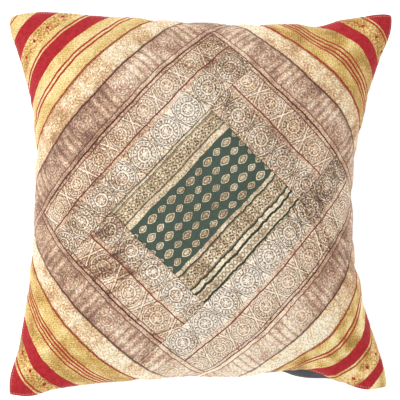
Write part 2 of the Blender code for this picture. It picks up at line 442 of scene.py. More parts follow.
def filled_back():
    """The closed double square: its upper skin lies just under the pieced front."""
    bpy.ops.object.select_all(action="DESELECT")
    bpy.ops.mesh.primitive_grid_add(x_subdivisions=CELLS, y_subdivisions=CELLS, size=2)
    piece = bpy.context.active_object
    piece.name = piece.data.name = "filled_back_cloth"
    shape = bmesh.new()
    shape.from_mesh(piece.data)
    lower = set(shape.verts)
    bmesh.ops.extrude_face_region(shape, geom=shape.faces[:])
    shape.verts.index_update()
    flat = np.array([v.co[:2] for v in shape.verts])
    under = np.array([v in lower for v in shape.verts])
    s, t = flat[:, 0], flat[:, 1]
    top = under_front(s, t, np.full(len(s), PIECED_THICKNESS + CLOTH_GAP))
    edge = np.maximum(np.abs(s), np.abs(t)) > 1 - 1e-6
    below = back_skin(s, t, looked_up(back_folds, s, t))
    bottom = np.where(edge[:, None], top - (0, 0, BACK_THICKNESS), below)
    points = (np.where(under[:, None], bottom, top) - MIDDLE) / 1000
    for vertex, point in zip(shape.verts, points):
        vertex.co = point
    shape.to_mesh(piece.data)
    shape.free()
    piece.data.shade_smooth()
    return piece


class Thread:
    """A number, colour or direction in a cloth's finish. Signs of arithmetic add Math nodes."""

    def __init__(self, tree, socket=None):
        self.tree = tree
        self.socket = socket

    def node(self, kind, settings=None, out=0, **values):
        """Makes a node: its settings first, then the values or links of its sockets."""
        made = self.tree.nodes.new("ShaderNode" + kind)
        for name, setting in (settings or {}).items():
            if name == "stops":
                stops = made.color_ramp.elements
                while len(stops) < len(setting):
                    stops.new(0.5)
                for stop, (place, colour) in zip(stops, setting):
                    stop.position = place
                    stop.color = colour
            elif name == "blend":
                made.color_ramp.interpolation = setting
            else:
                setattr(made, name, setting)
        for name, value in values.items():
            socket = made.inputs[int(name[1:]) if name[1:].isdigit() else name.replace("_", " ")]
            if isinstance(value, Thread):
                self.tree.links.new(value.socket, socket)
            else:
                socket.default_value = value
        return Thread(self.tree, made.outputs[out])

    def maths(self, operation, *values):
        return self.node("Math", {"operation": operation}, **{f"i{i}": v for i, v in enumerate(values)})

    def __add__(self, other):
        return self.maths("ADD", self, other)

    def __sub__(self, other):
        return self.maths("SUBTRACT", self, other)

    def __mul__(self, other):
        return self.maths("MULTIPLY", self, other)

    def __truediv__(self, other):
        return self.maths("DIVIDE", self, other)

    def __radd__(self, other):
        return self.maths("ADD", other, self)

    def __rsub__(self, other):
        return self.maths("SUBTRACT", other, self)

    def __rmul__(self, other):
        return self.maths("MULTIPLY", other, self)

    def __rtruediv__(self, other):
        return self.maths("DIVIDE", other, self)

    def __abs__(self):
        return self.maths("ABSOLUTE", self)

    def wrap(self, pitch):
        """Repeats every pitch, with 0 in the middle of each repeat."""
        return self.maths("WRAP", self, pitch / 2, -pitch / 2)

    def step(self, low, high):
        """Rises smoothly from 0 at low to 1 at high."""
        return self.node(
            "MapRange", {"interpolation_type": "SMOOTHSTEP"}, Value=self, From_Min=low, From_Max=high
        )

    def line(self, half, soft):
        """1 within half of 0, with soft edges."""
        return 1 - abs(self).step(half - soft / 2, half + soft / 2)

    def most(self, *others):
        found = self
        for other in others:
            found = self.maths("MAXIMUM", found, other)
        return found

    def blended(self, other, share, kind):
        """This colour with a share of the other blended into it."""
        settings = {"data_type": "RGBA", "blend_type": kind}
        return self.node("Mix", settings, out=2, i0=share, i6=self, i7=other)

    def tint(self, colour, other):
        """One colour where this is 0 and the other where it is 1."""
        return self.node("Mix", {"data_type": "RGBA"}, out=2, i0=self, i6=colour, i7=other)

    def ramp(self, *stops, blend="LINEAR"):
        return self.node("ValToRGB", {"stops": stops, "blend": blend}, i0=self)


def new_finish(name):
    """A new cloth finish: its Principled shader and a bare thread to make nodes from."""
    finish = bpy.data.materials.new(name)
    finish.use_nodes = True
    return finish, finish.node_tree.nodes["Principled BSDF"], Thread(finish.node_tree)


def wear(piece, finish):
    piece.data.materials.clear()
    piece.data.materials.append(finish)


back = filled_back()
finish, shader, thread = new_finish("back_cotton")
place = thread.node("TexCoord", out=3)
warp = thread.node("VectorMath", {"operation": "MULTIPLY"}, i0=place, i1=(1400, 60, 300))
weft = thread.node("VectorMath", {"operation": "MULTIPLY"}, i0=place, i1=(60, 1400, 300))
slubs = thread.node("TexNoise", Vector=warp, Scale=1.0) + thread.node("TexNoise", Vector=weft, Scale=1.0)
faded = thread.node("TexNoise", Vector=place, Scale=22.0, Detail=3.0)
colour = (slubs * 0.6 + faded * 0.5 - 0.35).ramp(
    (0.2, (0.030, 0.030, 0.034, 1)), (0.5, (0.056, 0.056, 0.060, 1)), (0.8, (0.092, 0.090, 0.094, 1))
)
thread.tree.links.new(colour.socket, shader.inputs["Base Color"])
thread.tree.links.new((0.98 - slubs * 0.1).socket, shader.inputs["Roughness"])
bump = thread.node("Bump", Strength=0.6, Distance=0.0003, Height=slubs * 2.5)
thread.tree.links.new(bump.socket, shader.inputs["Normal"])
wear(back, finish)
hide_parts("filled_back")
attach(back, "root")


# The pieced front: borders and field of an old gold-brocade cloth, cut into strips and sewn
# log-cabin fashion round a centre piece, on the bias, so that the corners are triangles.
# Every seam's edges are turned under.

TURNED_EDGE = 1.7  # how far in from a seam the cloth curves down to it
SEAM_SINK = 1.15  # how deep it goes there
PUCKER_HEIGHT, PUCKER_REACH = 0.35, 6  # of the small gathers beside a seam
PATCH_THICKNESS = 0.5
PATCH_CELL = 2.4
RIB_PITCH = 0.85  # of the weave's ribs


def cut_rows(length):
    """Shares along an edge of this length: fine rows by the turned edges, even ones between."""
    near = [0, 0.35, 0.9, 1.8, 3.2]
    between = max(int(round((length - 2 * near[-1]) / PATCH_CELL)), 1)
    middle = np.linspace(near[-1], length - near[-1], between + 1)
    far = [length - x for x in reversed(near)]
    return np.concatenate((near[:-1], middle, far[1:])) / length


def wavered(a, b):
    """Flat places moved by about half a millimetre, as hand cutting and sewing leaves them."""
    fade = 1 - np.clip((np.abs(a) + np.abs(b)) / EDGE, 0, 1) ** 10
    shift_a = 0.18 * np.sin(b / 4.3 + a / 31) + 0.4 * np.sin(b / 11.9 - a / 17 + 2)
    shift_b = 0.18 * np.sin(a / 4.7 + b / 29 + 1) + 0.4 * np.sin(a / 12.3 - b / 19)
    shift_a += 0.12 * np.sin(b / 1.9 + a / 11)
    shift_b += 0.12 * np.sin(a / 2.1 + b / 13)
    return a + shift_a * fade, b + shift_b * fade


def patch(name, corners, finish, run):
    """Cuts a piece of cloth with four corners, turns its edges under, and lays it on the form.

    run is the place (a, b) that its pattern is measured from and the directions along and
    across it. The cloth's UV map holds millimetres along and across.
    """
    corners = np.array(corners, float)
    sides = [np.linalg.norm(corners[(k + 1) % 4] - corners[k]) for k in range(4)]
    along = cut_rows(max(sides[0], sides[2]))
    across = cut_rows(max(sides[1], sides[3]))
    bpy.ops.object.select_all(action="DESELECT")
    bpy.ops.mesh.primitive_grid_add(
        x_subdivisions=len(along) - 1, y_subdivisions=len(across) - 1, size=1
    )
    piece = bpy.context.active_object
    piece.name = piece.data.name = name
    mesh = piece.data
    flat = np.zeros(len(mesh.vertices) * 3)
    mesh.vertices.foreach_get("co", flat)
    flat = flat.reshape(-1, 3)[:, :2] + 0.5
    u = along[np.rint(flat[:, 0] * (len(along) - 1)).astype(int)][:, None]
    v = across[np.rint(flat[:, 1] * (len(across) - 1)).astype(int)][:, None]
    first, second, third, fourth = corners
    cut = (first * (1 - u) + second * u) * (1 - v) + (fourth * (1 - u) + third * u) * v
    over = np.maximum(np.abs(cut).sum(1) - EDGE, 0)  # what passes the cushion's edge is cut off
    cut -= np.sign(cut) * over[:, None] / 2
    off = (EDGE - np.abs(cut).sum(1)) / math.sqrt(2)
    pucker = np.zeros(len(cut))
    for k in range(4):
        start, end = corners[k], corners[(k + 1) % 4]
        edge = (end - start) / np.linalg.norm(end - start)
        away = np.abs((cut - start) @ (-edge[1], edge[0]))
        place = (cut - start) @ edge
        wave = np.sin(place / 1.45 + 1.5 * np.sin(place / 7.3 + k)) * np.sin(place / 11 + 2 * k)
        pucker += PUCKER_HEIGHT * np.exp(-away / PUCKER_REACH) * wave
        off = np.minimum(off, away)
    turn = np.clip(np.maximum(off, 0) / TURNED_EDGE, 0, 1)
    lift = -SEAM_SINK * (1 - np.sqrt(1 - (1 - turn) ** 2)) + pucker * turn
    s, t = slipped(*wavered(cut[:, 0], cut[:, 1]))
    points = (under_front(s, t, -lift) - MIDDLE) / 1000
    mesh.vertices.foreach_set("co", points.ravel())
    # How far the folds and puckers stand out. The finishes paint light on the high places and shade on the
    # low ones from it.
    fold = (looked_up(front_folds, s, t) * front_normals(s, t)).sum(-1)
    raised = mesh.attributes.new("raised", "FLOAT", "POINT")
    raised.data.foreach_set("value", (fold + pucker * 0.5).astype(np.float32))
    origin, direction, outward = (np.array(x, float) for x in run)
    local = np.stack(((cut - origin) @ direction, (cut - origin) @ outward), -1)
    weave = mesh.uv_layers.new(name="cloth")
    loops = np.zeros(len(mesh.loops), int)
    mesh.loops.foreach_get("vertex_index", loops)
    weave.uv.foreach_set("vector", local[loops].astype(np.float32).ravel())
    for other in list(mesh.uv_layers):
        if other.name != "cloth":
            mesh.uv_layers.remove(other)
    quads = cut[loops.reshape(-1, 4)]
    one, other = quads[:, 2] - quads[:, 0], quads[:, 3] - quads[:, 1]
    area = 0.5 * (one[:, 0] * other[:, 1] - one[:, 1] * other[:, 0]).sum()
    if area > 0:  # a and b run the other way round than X and Y
        mesh.flip_normals()
    shape = bmesh.new()
    shape.from_mesh(mesh)
    waste = [face for face in shape.faces if all(over[corner.index] > 0 for corner in face.verts)]
    bmesh.ops.delete(shape, geom=waste, context="FACES")
    bmesh.ops.remove_doubles(shape, verts=shape.verts[:], dist=0.00001)
    shape.to_mesh(mesh)
    shape.free()
    mesh.shade_smooth()
    bpy.ops.object.modifier_add(type="SOLIDIFY")
    piece.modifiers[0].thickness = PATCH_THICKNESS / 1000
    piece.modifiers[0].offset = -1
    bpy.ops.object.modifier_apply(modifier=piece.modifiers[0].name)
    wear(piece, finish)
    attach(piece, "root")
    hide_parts("front_panel")
    spread = np.ptp((corners - origin) @ direction), np.ptp((corners - origin) @ outward)
    abs(area) / 1e6


def grain(thread, place, size, detail, stretch=(1, 1)):
    """Uneven yarn, as a number about 0.5, in specks of this size in mm."""
    scaled = thread.node(
        "VectorMath", {"operation": "MULTIPLY"}, i0=place, i1=(stretch[0] / size, stretch[1] / size, 1)
    )
    return thread.node("TexNoise", {"noise_dimensions": "2D"}, Vector=scaled, Scale=1.0, Detail=detail)


def woven_places(thread, jitter):
    """The cloth's millimetres along and across, a little uneven, as a hand loom leaves them."""
    place = thread.node("UVMap", {"uv_map": "cloth"})
    shift = thread.node(
        "TexNoise", {"noise_dimensions": "2D"}, out=1, Vector=place, Scale=0.45, Detail=1.0
    )
    shift = thread.node("VectorMath", {"operation": "SUBTRACT"}, i0=shift, i1=(0.5, 0.5, 0.5))
    shift = thread.node("VectorMath", {"operation": "SCALE"}, i0=shift, Scale=jitter)
    place = thread.node("VectorMath", {"operation": "ADD"}, i0=place, i1=shift)
    along = thread.node("SeparateXYZ", i0=place)
    across = Thread(thread.tree, along.socket.node.outputs[1])
    return place, along, across


def gilt(shader, thread, place, silk, lit, metal_brightness, metal, silk_colour, blush, glints=1.35):
    """Metal-wrapped yarn over silk.

    silk is 1 where the silk shows, lit is 1 where pale yarn stands up and where highlights
    are painted, and blush is how much of the silk's pink shows through the metal. glints is how
    strongly single yarns differ, in random tone and in painted glints. Folds that stand up get
    painted light, and their hollows painted shade.
    """
    across = thread.node("SeparateXYZ", out=1, i0=place)
    ribs = thread.maths("SINE", across * (2 * math.pi / RIB_PITCH)) * 0.5
    # Single yarns: random tone, painted glints in the colour, and unevenness in the bump.
    glint = grain(thread, place, 1.6, 1.5) - 0.5
    # Thin lines of painted shade in the colour, which are also dents in the bump.
    crease = (grain(thread, place, 26.0, 2.5) - 0.5).line(0.010, 0.022)
    # Painted light on the crests of folds and painted shade in their hollows.
    raised = thread.node("Attribute", {"attribute_name": "raised"}, out=2)
    # The metal's own tone plus painted light and shade: painted sheen, painted glints, painted shade in
    # thin lines, and painted light and shade on folds.
    sheen = metal_brightness + lit * 0.3 + glint * glints + ribs * 0.05 - crease * 0.08 + raised * 0.09
    colour = sheen.ramp(*metal)
    colour = colour.blended((1.0, 0.86, 0.76, 1), blush, "MULTIPLY")
    noise = {"noise_dimensions": "2D"}
    specks = thread.node("TexNoise", noise, out=1, Vector=place, Scale=0.55, Detail=1.0)
    colour = colour.blended(specks, 0.4, "OVERLAY")
    colour = silk.tint(colour, silk_colour)
    thread.tree.links.new(colour.socket, shader.inputs["Base Color"])
    cover = 1 - silk
    thread.tree.links.new((cover * 0.25).socket, shader.inputs["Metallic"])
    thread.tree.links.new((0.74 - cover * 0.28).socket, shader.inputs["Roughness"])
    soft_folds = grain(thread, place, 13.0, 2.0) * 4.5
    height = cover + lit + ribs * 0.3 + glint * 1.2 + soft_folds - crease * 0.7
    bump = thread.node("Bump", Strength=0.8, Distance=0.0005, Height=height)
    thread.tree.links.new(bump.socket, shader.inputs["Normal"])
    shader.inputs["Specular IOR Level"].default_value = 0.3


# The centre piece: the field and both side borders of a green silk with gold leaf sprigs, in
# rows that take turns between a large and a small leaf. Gathered a little where it is sewn, with painted
# light and shade on the gathers.

CENTRE_METAL = (
    (0.0, (0.15, 0.10, 0.06, 1)),
    (0.35, (0.40, 0.29, 0.18, 1)),
    (0.7, (0.72, 0.60, 0.41, 1)),
    (1.0, (0.95, 0.88, 0.70, 1)),
)

finish, shader, thread = new_finish("green_silk")
place, along, across = woven_places(thread, 0.7)
gather_and_shade = grain(thread, place, 5.5, 1.0, (1, 0.06)) - 0.5
below = across.step(28.0, 44.0)
across = across + gather_and_shade * (below * 1.6 + 0.7)
column = thread.maths("ROUND", (along - 7.0) / 12.9)
row = thread.maths("ROUND", (across - 4.6) / 11.5)
small = thread.maths("PINGPONG", column + row, 1.0)
x = (along - 7.0).wrap(12.9)
y = (across - 4.6).wrap(11.5)
long_half = 6.15 - small * 1.4
high_half = 3.85 - small * 0.5
leaf = thread.maths("POWER", abs(x) / long_half, 1.6)
leaf = leaf + thread.maths("POWER", abs(y) / high_half, 1.3)
inside = 1 - leaf.step(0.90, 1.06)
brim = (leaf - 0.80).line(0.14, 0.12)
vein = (leaf - 0.52).line(0.12, 0.14)
seed = (abs(x) - 2.0).line(0.7, 0.7) * y.line(0.7, 0.7)
sprigs = inside * (1 - vein * 0.7)
in_field = (across - 4.0).line(30.4, 0.5)
rim_x = (along - 3.0).wrap(10.2)


def small_roundels(y, high):
    """A row of dotted roundels: the share of silk that shows, and what is bright."""
    r = thread.maths("SQRT", rim_x * rim_x + y * y)
    turn = thread.maths("ARCTAN2", y, rim_x)
    petals = thread.maths("COSINE", turn * 7)
    ring = (r - 4.2).line(0.75, 0.6) * petals.step(-0.5, 0.3)
    flower = (r - 2.2).line(0.45, 0.5)
    post = (abs(rim_x) - 5.1).line(0.8, 0.6) * thread.maths("SINE", y * 2.1).step(-0.3, 0.4)
    edge = (abs(y) - high).line(0.5, 0.5)
    bright = r.line(1.0, 0.8).most((r - 3.1).line(0.4, 0.4))
    return ring.most(flower * 0.75, post * 0.9, edge * 0.7), bright


upper_band, upper_lit = small_roundels(across + 40.8, 7.0)
lower_band, lower_lit = small_roundels(across - 47.1, 6.9)
bead_x = (along - 2.0).wrap(5.2)
bead_y = across - 67.0
beads = (thread.maths("SQRT", bead_x * bead_x + bead_y * bead_y * 0.8) - 2.0).line(0.55, 0.6) * 0.7
lines = ((across + 52.8).line(0.6, 0.5) * 0.8).most(
    (across + 49.4).line(0.55, 0.5) * 0.85,
    (across + 33.2).line(0.55, 0.5) * 0.9,
    (across - 38.9).line(0.75, 0.5),
    (across - 55.4).line(0.9, 0.5),
    (across - 61.6).line(1.25, 0.5),
    (across - 72.3).line(1.1, 0.5),
)
is_upper = (across + 41.2).line(7.9, 0.4)
is_lower = (across - 47.1).line(7.9, 0.4)
is_bead = (across - 67.0).line(4.2, 0.4)
banded = is_upper.most(is_lower, is_bead)
silk = lines.most(is_upper * upper_band, is_lower * lower_band, is_bead * beads)
silk = silk.most(in_field * (1 - sprigs))
lit = (in_field * inside * brim).most(
    in_field * inside * seed * 0.8, is_upper * upper_lit * 0.8, is_lower * lower_lit * 0.8
)
# Below the field the gathers are painted lighter and darker in columns: painted light and shade.
metal_brightness = grain(thread, place, 14.0, 2.0) * 0.6 + 0.24 + gather_and_shade * below * 1.1
metal_brightness = metal_brightness - is_upper * 0.20 - is_lower * 0.14 - in_field * 0.08 + (1 - in_field) * 0.22
metal_brightness = metal_brightness + (grain(thread, place, 1.3, 1.0) - 0.5) * (1 - in_field) * 0.9
metal_brightness = metal_brightness - (1 - in_field) * (1 - banded) * 0.10
stain = grain(thread, place, 1.4, 1.0).tint((0.045, 0.062, 0.045, 1), (0.075, 0.112, 0.083, 1))
stain = (banded * 0.75).tint(stain, (0.145, 0.100, 0.050, 1))
dark = lines.tint(stain, (0.026, 0.042, 0.030, 1))
gilt(shader, thread, place, silk, lit, metal_brightness, CENTRE_METAL, dark, 0.35 + banded * 0.3)
left, right, upper, lower = (places[0] for places in SEAMS.values())
patch(
    "centre_piece",
    ((left, upper), (right, upper), (right, lower), (left, lower)),
    finish,
    ((0, 0), (0.99993, -0.012), (0.012, 0.99993)),
)


# Four strips of wide gold border round the centre piece, overlapping like the logs of a cabin.
# Each has two rows of woven rosettes, with maroon lines between and beside them.

STRIP_METAL = (
    (0.0, (0.11, 0.060, 0.038, 1)),
    (0.3, (0.40, 0.26, 0.168, 1)),
    (0.55, (0.66, 0.48, 0.335, 1)),
    (0.8, (0.91, 0.75, 0.555, 1)),
    (1.0, (0.99, 0.92, 0.785, 1)),
)
MAROON = (0.165, 0.034, 0.040, 1)


def ends_of(side, ring):
    """Where a side's band starts and ends. The upper and lower ones run over the others' ends.

    ring is 0 for the strips and 1 for the bands round them.
    """
    if side in ("left", "right"):
        ends = SEAMS["upper"][ring], SEAMS["lower"][ring]
    else:
        ends = SEAMS["left"][ring + 1], SEAMS["right"][ring + 1]
    return ends if side in ("left", "lower") else ends[::-1]


def band(name, side, places, finish, ends, outer_ends=None):
    """Lays a band along a side, between two places out from the middle.

    ends are where it starts and ends on its inner seam, and outer_ends on its outer one,
    where they differ.
    """
    inner, outer = places
    (start, end), (outer_start, outer_end) = ends, outer_ends or ends
    corners = (inner, start), (inner, end), (outer, outer_end), (outer, outer_start)
    run = (inner, 0), (0, 1), (math.copysign(1, outer), 0)
    if side in ("upper", "lower"):
        corners, run = (tuple((b, a) for a, b in pairs) for pairs in (corners, run))
    patch(name, corners, finish, run)


def rosette(thread, x, y, reach, dashes, petals):
    """The dark lines of a woven rosette, its bright lines and painted highlights, and the distance from its
    middle.
    """
    r = thread.maths("SQRT", x * x + y * y) * (12.8 / reach)
    turn = thread.maths("ARCTAN2", y, x)
    dash = thread.maths("COSINE", turn * dashes)
    blobs = thread.maths("COSINE", turn * petals)
    teeth = (r - 9.9).line(1.3, 0.8) * dash.step(-0.1, 0.6)
    rings = ((r - 13.2).line(0.45, 0.5) * 0.85).most(
        (r - 11.4).line(0.35, 0.5) * 0.8, (r - 7.6).line(0.5, 0.5) * 0.9, (r - 4.8).line(0.45, 0.5) * 0.9
    )
    petal = (r - 3.0).line(0.8, 0.6) * (1 - blobs.step(-0.3, 0.4))
    drawn = (teeth * 0.8).most(rings, petal * 0.75)
    # Painted highlights: a white ring halfway out, and the outer ring painted brighter at both its sides.
    sides = (abs(x) / (r + 0.1)).step(0.3, 0.8)  # the outer ring shines at both its sides
    bright = ((r - 6.2).line(0.5, 0.8) * 0.75).most(
        r.line(1.2, 0.8) * 0.9,
        (r - 3.0).line(0.8, 0.6) * blobs.step(0.0, 0.6) * 0.7,
        (r - 12.3).line(0.55, 0.7) * (sides * 0.9 + 0.3),
        (r - 9.9).line(1.1, 0.8) * (1 - dash.step(-0.6, 0.0)) * 0.6,
    )
    return drawn, bright, r


def border_row(thread, along, y, pitch, phase, reach, dashes, petals, crossed):
    """A row of rosettes with leaves between: the share of silk that shows, and what is bright."""
    x = (along - phase).wrap(pitch)
    gap = abs((along - phase - pitch / 2).wrap(pitch))
    drawn, bright, r = rosette(thread, x, y, reach, dashes, petals)
    outside = r.step(13.8, 14.4)
    if crossed:
        slant = gap - abs(y) * 0.42
        leaf = (slant - 1.5).line(0.55, 0.5).most((slant + 1.3).line(0.55, 0.5))
        glow = slant.line(0.9, 0.6)
        bits = (abs(y) - 9.0).line(1.3, 0.6) * gap.line(0.9, 0.5)
    else:
        bow = gap - y * y * 0.021
        leaf = (bow - 0.9).line(0.5, 0.5).most((bow - 3.4).line(0.5, 0.5))
        glow = (bow - 2.2).line(0.7, 0.6)
        bits = gap.line(0.6, 0.5) * thread.maths("SINE", y * 1.5).step(0.0, 0.6)
    drawn = drawn.most(outside * leaf * 0.9, outside * bits * 0.8)
    return drawn, bright.most(outside * glow)


def shine_along(along, shine):
    """How bright the painted sheen on the metal is along a band, from places as shares of 30 cm and levels.
    """
    return (along / 300 + 0.5).ramp(*[(x, (v, v, v, 1)) for x, v in shine])


def border_strip(side, mid, inner, outer, shine, outer_shine, creased, glints):
    """Makes one strip. mid is where its two rows of rosettes meet, from its inner seam.

    inner and outer are the rows, as border_row takes them, and shine and outer_shine how
    bright their painted sheen is along the strip. creased is how strongly the painted light and shade of
    slanting folds show on it.
    """
    finish, shader, thread = new_finish(side + "_border")
    place, along, across = woven_places(thread, 2.0)
    full = abs(SEAMS[side][1] - SEAMS[side][0])
    first, first_lit = border_row(thread, along, across - (mid / 2 - 1.8), *inner, False)
    second, second_lit = border_row(thread, along, across - (mid + full) / 2 + 1.6, *outer, True)
    is_outer = across.step(mid + 0.6, mid + 1.0) * (1 - across.step(full - 4.6, full - 4.2))
    is_inner = 1 - across.step(mid - 4.4, mid - 4.0)
    broken = grain(thread, place, 1.9, 1.0).step(0.30, 0.56)
    silk = (first * is_inner).most(second * is_outer * 0.9) * (broken * 0.62 + 0.38)
    straight = woven_places(thread, 0.5)[2]
    maroon = (straight - mid).line(0.7, 0.5).most(
        (straight - full + 4.5).line(0.6, 0.5) * 0.95,
        (straight - full + 0.4).line(0.6, 0.5),
        (straight - mid + 4.3).line(0.3, 0.5) * 0.4,
    )
    block = thread.maths("FLOOR", along / 15.2)
    pick = thread.node("TexWhiteNoise", {"noise_dimensions": "1D"}, W=block)
    cloudy = grain(thread, place, 20.0, 1.0) - 0.5
    # Painted light and shade, in slanting bands across the strip, as of small folds.
    slanting = thread.node("CombineXYZ", X=along + across * 0.35, Y=across * 0.12)
    painted_crease_shading = grain(thread, slanting, 4.5, 1.5) - 0.5
    # Painted sheen: each row's metal is painted brighter and darker along the strip.
    painted_sheen = is_inner.tint(shine_along(along, outer_shine), shine_along(along, shine))
    edging = (straight - mid + 2.1).line(1.9, 0.6).most((straight - full + 2.4).line(1.6, 0.6))
    silk = silk.most(edging * thread.maths("SINE", along * 2.6).step(0.0, 0.8) * 0.3)
    metal_brightness = painted_sheen + cloudy * 0.5 + (pick - 0.5) * 0.14 - edging * 0.13 + painted_crease_shading * creased
    lit = (first_lit * is_inner).most(second_lit * is_outer) * (1 - maroon)
    colour = maroon.tint((0.066, 0.038, 0.024, 1), MAROON)
    blush = 0.25 + (1 - is_inner) * 0.65
    gilt(shader, thread, place, silk.most(maroon), lit, metal_brightness, STRIP_METAL, colour, blush, glints)
    band(side + "_strip", side, SEAMS[side][:2], finish, ends_of(side, 0))


border_strip(
    "left", 30.6, (30.0, -11.0, 12.8, 20, 7), (36.0, -20.0, 12.6, 22, 6),
    ((0.35, 0.44), (0.48, 0.57), (0.60, 0.76)),
    ((0.35, 0.70), (0.51, 0.48), (0.54, 0.98), (0.64, 0.78)), 1.3, 1.6,
)
border_strip(
    "right", 33.0, (32.0, 3.5, 13.0, 20, 7), (32.0, 18.2, 12.2, 22, 6),
    ((0.35, 0.60), (0.5, 0.54), (0.65, 0.60)),
    ((0.35, 0.86), (0.5, 0.70), (0.65, 0.76)), 0.6, 1.9,
)
border_strip(
    "upper", 33.3, (30.3, -6.3, 12.9, 20, 7), (32.5, -9.4, 12.0, 22, 6),
    ((0.10, 0.46), (0.3, 0.68), (0.48, 0.78), (0.70, 1.04), (0.80, 0.70), (0.88, 0.44)),
    ((0.06, 0.84), (0.16, 0.60), (0.48, 0.68), (0.70, 0.98), (0.86, 0.46)), 0.7, 1.9,
)
border_strip(
    "lower", 31.1, (30.8, 9.5, 12.8, 20, 7), (33.0, 5.7, 12.2, 22, 6),
    ((0.12, 0.92), (0.3, 1.15), (0.52, 1.02), (0.66, 0.62), (0.82, 0.28), (0.94, 0.34)),
    ((0.12, 1.25), (0.3, 1.05), (0.52, 1.1), (0.68, 0.56), (0.80, 0.86), (0.94, 0.74)), 1.1, 2.5,
)


# The brown bands: a darker border with faint rosettes between groups of bars, sewn round the
# strips and running out to the cushion's edge.

BROWN_METAL = (
    (0.0, (0.15, 0.075, 0.05, 1)),
    (0.35, (0.38, 0.22, 0.145, 1)),
    (0.7, (0.70, 0.47, 0.32, 1)),
    (1.0, (0.98, 0.83, 0.64, 1)),
)


def brown_band(name, side, ends, pitch, phase, shine):
    """Makes one band. Its rosettes are a pitch apart, and shine is how bright its painted sheen is along
    it.
    """
    finish, shader, thread = new_finish(name)
    place, along, across = woven_places(thread, 1.5)
    inner, outer = SEAMS[side][1:3]
    width = abs(outer - inner)
    y = across - (width / 2 + 1.8)
    x = (along - phase).wrap(pitch)
    gap = (along - phase - pitch / 2).wrap(pitch)
    drawn, bright, r = rosette(thread, x, y, 12.0, 12, 6)
    outside = r.step(13.8, 14.6)
    bars = thread.maths("COSINE", gap * (2 * math.pi / 8.0))
    between = gap.line(17.5, 2.0) * outside
    zigzag = (y + thread.maths("PINGPONG", along, 3.2) * 1.6 - 2.5).wrap(7.0)
    silk = (drawn * 0.6).most(between * bars.step(0.45, 0.95) * 0.6, outside * zigzag.line(0.7, 0.8) * 0.45)
    broken = grain(thread, place, 2.6, 1.5).step(0.25, 0.6)
    silk = silk * (broken * 0.7 + 0.3)
    lit = (bright * 0.7).most(between * (1 - bars.step(-0.8, -0.3)) * 0.45)
    straight = woven_places(thread, 0.5)[2]
    maroon = ((straight - 4.6).line(0.45, 0.5) * 0.9).most(
        (straight - width + 0.7).line(0.7, 0.5) * 0.9, straight.line(0.5, 0.5) * 0.8
    )
    edge = 1 - across.step(4.4, 5.0)
    silk = silk * (1 - edge)
    cloudy = grain(thread, place, 15.0, 1.0) - 0.5
    # Painted sheen: the metal is painted brighter and darker along the band.
    metal_brightness = cloudy * 0.8 + shine_along(along * 0.75, shine) + edge * 0.12
    colour = maroon.tint((0.11, 0.055, 0.04, 1), (0.14, 0.030, 0.034, 1))
    gilt(shader, thread, place, silk.most(maroon), lit * (1 - edge), metal_brightness, BROWN_METAL, colour, 0.15)
    band(name, side, (inner, outer), finish, ends)


first_end, last_end = ends_of("left", 1)
joint = SEAMS["lower"][0]  # the left band has a joint in line with the centre piece's lower seam
brown_band("left_brown", "left", (first_end, joint), 58.0, 20.0, ((0.3, 0.42), (0.5, 0.42), (0.65, 0.60)))
brown_band("left_brown_end", "left", (joint, last_end), 58.0, 48.0, ((0.6, 0.70), (0.9, 0.80)))
for side, pitch, phase, shine in (
    ("right", 56.0, 0.0, ((0.3, 0.56), (0.5, 0.46), (0.7, 0.52))),
    ("upper", 57.0, 27.3, ((0.25, 0.44), (0.45, 0.28), (0.62, 0.72), (0.8, 0.46))),
    ("lower", 52.0, -10.0, ((0.25, 0.98), (0.45, 0.82), (0.6, 0.38), (0.8, 0.48))),
):
    brown_band(side + "_brown", side, ends_of(side, 1), pitch, phase, shine)


# The pale gold bands: a light border woven almost solid with gold, in a faint trellis.

PALE_METAL = (
    (0.0, (0.38, 0.20, 0.10, 1)),
    (0.35, (0.66, 0.41, 0.215, 1)),
    (0.7, (0.89, 0.68, 0.405, 1)),
    (1.0, (0.99, 0.91, 0.69, 1)),
)
BLUNT_POINT = 2.0  # cut off a triangle's point, and half the width left there


def to_edge(side, place):
    """Where a band starts and ends if it runs out to the cushion's edge at this place."""
    reach = max(EDGE - abs(place), BLUNT_POINT)
    return (-reach, reach) if side in ("left", "lower") else (reach, -reach)


def pale_band(side, shine):
    """Makes one band. shine is how bright its painted sheen is along it."""
    finish, shader, thread = new_finish(side + "_pale")
    place, along, across = woven_places(thread, 1.6)
    inner, outer = SEAMS[side][2:]
    zig = thread.maths("PINGPONG", along, 5.5) * 1.2
    lattice = (across + zig).wrap(7.5).line(0.6, 0.7).most((across - zig).wrap(7.5).line(0.6, 0.7))
    broken = grain(thread, place, 2.8, 1.5).step(0.42, 0.62)
    berries = grain(thread, place, 2.0, 0.5).step(0.62, 0.70)
    seam = across.line(0.9, 0.6).most((across - abs(outer - inner)).line(0.8, 0.6))
    silk = (lattice * broken * 0.5).most(berries * 0.55, seam * 0.8)
    blotch = grain(thread, place, 6.0, 1.5).step(0.54, 0.64)
    cloudy = grain(thread, place, 18.0, 1.0) - 0.5
    block = thread.maths("FLOOR", along / 19 + 0.4)
    pick = thread.node("TexWhiteNoise", {"noise_dimensions": "1D"}, W=block)
    # Painted sheen: the metal is painted brighter and darker along the band.
    metal_brightness = cloudy * 0.9 + shine_along(along, shine) + (pick - 0.5) * 0.3
    rust = seam.tint((0.42, 0.20, 0.10, 1), (0.17, 0.05, 0.04, 1))
    gilt(shader, thread, place, silk, blotch * 0.8, metal_brightness, PALE_METAL, rust, 0.1, 2.0)
    band(side + "_gold", side, (inner, outer), finish, to_edge(side, inner), to_edge(side, outer))


